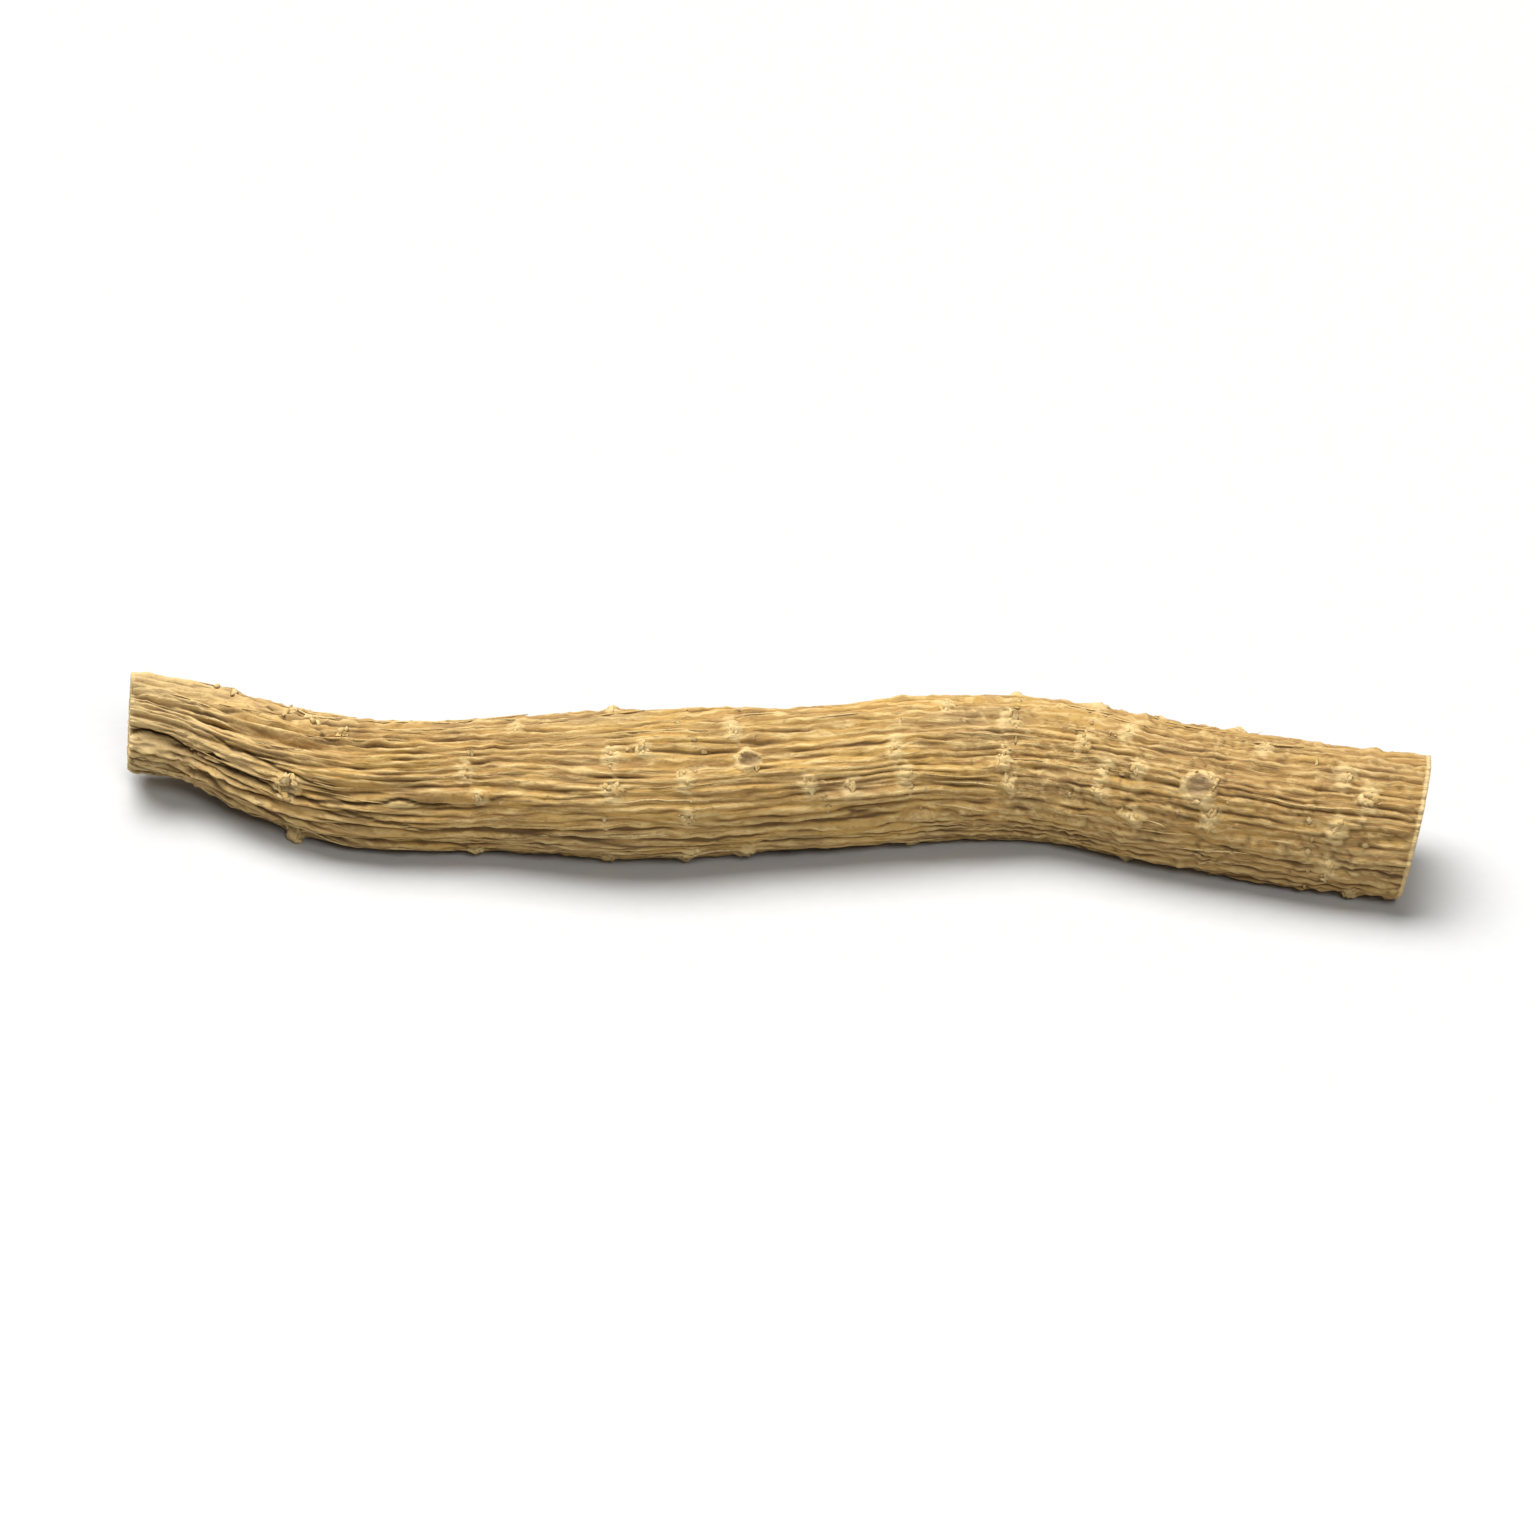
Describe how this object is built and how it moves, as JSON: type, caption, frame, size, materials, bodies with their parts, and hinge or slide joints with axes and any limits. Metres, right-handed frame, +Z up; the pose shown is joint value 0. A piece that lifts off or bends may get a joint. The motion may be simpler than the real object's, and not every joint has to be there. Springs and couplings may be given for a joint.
{
  "type": "achyranthes root",
  "caption": "Gently curved cut length of dried achyranthes root with lengthwise wrinkles, lenticel rows, rootlet scars, knobs and knife-cut ends, lying on a surface.",
  "frame": {"origin": "bottom centre of the root's box, on the surface that it lies on", "axes": "+X along the root towards its thick end, +Y away from the side that shows, +Z up"},
  "size_m": [0.0896, 0.017, 0.0101],
  "materials": {
    "bark": "matte, dry and finely wrinkled"
  },
  "bodies": {
    "root": {"achyranthes_root": "bark"}
  },
  "joints": []
}
